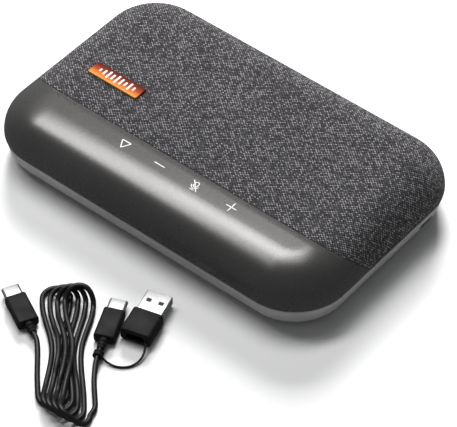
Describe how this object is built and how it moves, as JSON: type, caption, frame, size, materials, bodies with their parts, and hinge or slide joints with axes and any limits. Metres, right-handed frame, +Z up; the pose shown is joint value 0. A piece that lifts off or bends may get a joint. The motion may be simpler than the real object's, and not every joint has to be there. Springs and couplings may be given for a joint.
{
  "type": "conference speakerphone",
  "caption": "Low rounded tabletop speakerphone with a fabric-covered speaker, a satin touch-control band and a folded USB cable beside it.",
  "frame": {"origin": "centre of the speakerphone's footprint, on the table; the loose cable lies in front of it", "axes": "+X right along the length, +Y to the back, +Z up; the touch band faces -Y"},
  "size_m": [0.19, 0.214, 0.0311],
  "materials": {
    "base_plastic": "fine moulded texture, mid grey",
    "rubber": "matt black",
    "screw_steel": "zinc plated",
    "satin_paint": "satin dark grey metallic paint on a plastic shell",
    "black_plastic": "matt black moulding",
    "cover_fabric": "heather grey woven cover",
    "badge_enamel": "orange, darker towards the back",
    "white_print": "white printed symbols",
    "board_green": "solder mask",
    "led_white": "white LED package",
    "clear_guide": "milky light guide",
    "tinned_steel": "plated sheet metal",
    "chip_black": "moulded package",
    "ribbon_film": "amber film",
    "battery_wrap": "shrink wrap",
    "button_plastic": "satin plastic",
    "pressed_steel": "pressed and plated",
    "cone_paper": "pressed paper",
    "coil_copper": "enamelled copper wire",
    "spider_cloth": "impregnated cloth",
    "surround_rubber": "soft black rubber",
    "cord_black": "matt black jacket",
    "plug_plastic": "satin black overmould",
    "tongue_white": "white contact carrier"
  },
  "bodies": {
    "housing": {"base_shell": "base_plastic", "foot_pad": "rubber", "base_screws": "screw_steel", "seam_gasket": "rubber", "upper_shell": "satin_paint", "grille_frame": "black_plastic", "fabric_cover": "cover_fabric", "badge": "badge_enamel", "touch_symbols": "white_print", "touch_board": "board_green", "symbol_leds": "led_white", "light_guides": "clear_guide", "main_board": "board_green", "board_screws": "screw_steel", "shield_can": "tinned_steel", "board_chips": "chip_black", "board_capacitors": "chip_black", "ribbon_cable": "ribbon_film", "battery_cell": "battery_wrap", "battery_cradle": "black_plastic", "usb_board": "board_green", "usb_socket": "tinned_steel", "switch_board": "board_green", "tact_switches": "chip_black", "microphone_boards": "board_green", "microphone_gaskets": "rubber", "speaker_box": "black_plastic", "speaker_baffle": "black_plastic", "speaker_gasket": "rubber", "driver_basket": "pressed_steel", "driver_magnet": "pressed_steel", "driver_spider": "spider_cloth", "driver_surround": "surround_rubber", "driver_screws": "screw_steel", "left_radiator_frame": "pressed_steel", "left_radiator_surround": "surround_rubber", "right_radiator_frame": "pressed_steel", "right_radiator_surround": "surround_rubber"},
    "driver": {"driver_cone": "cone_paper", "driver_dust_cap": "cone_paper", "voice_coil": "coil_copper"},
    "left_radiator": {"left_radiator": "cone_paper"},
    "right_radiator": {"right_radiator": "cone_paper"},
    "power_button": {"power_button": "button_plastic"},
    "pairing_button": {"pairing_button": "button_plastic"},
    "cable": {"cable_leads": "cord_black", "cable_hank": "cord_black", "plug_a_shell": "tinned_steel", "plug_a_grip": "plug_plastic", "plug_b_shell": "tinned_steel", "plug_b_grip": "plug_plastic", "strap_ring": "cord_black", "adapter_strap": "cord_black", "adapter_body": "plug_plastic", "adapter_shell": "tinned_steel", "adapter_tongue": "tongue_white"}
  },
  "joints": [
    {"name": "driver_travel", "type": "slide", "parent": "housing", "child": "driver", "axis": [0, 0, 1], "range_m": [-0.002, 0.002], "stiffness_N_per_m": 1500, "deforming": ["driver_surround", "driver_spider"]},
    {"name": "left_radiator_travel", "type": "slide", "parent": "housing", "child": "left_radiator", "axis": [0, 0, 1], "range_m": [-0.0025, 0.0025], "stiffness_N_per_m": 1200, "deforming": ["left_radiator_surround"]},
    {"name": "right_radiator_travel", "type": "slide", "parent": "housing", "child": "right_radiator", "axis": [0, 0, 1], "range_m": [-0.0025, 0.0025], "stiffness_N_per_m": 1200, "deforming": ["right_radiator_surround"]},
    {"name": "power_button_press", "type": "slide", "parent": "housing", "child": "power_button", "axis": [0, -1, 0], "range_m": [0, 0.0005], "stiffness_N_per_m": 1200},
    {"name": "pairing_button_press", "type": "slide", "parent": "housing", "child": "pairing_button", "axis": [0, -1, 0], "range_m": [0, 0.0005], "stiffness_N_per_m": 1200},
    {"name": "cable_pull", "type": "slide", "parent": "housing", "child": "cable", "axis": [0, -1, 0], "range_m": [0, 0.08]}
  ]
}
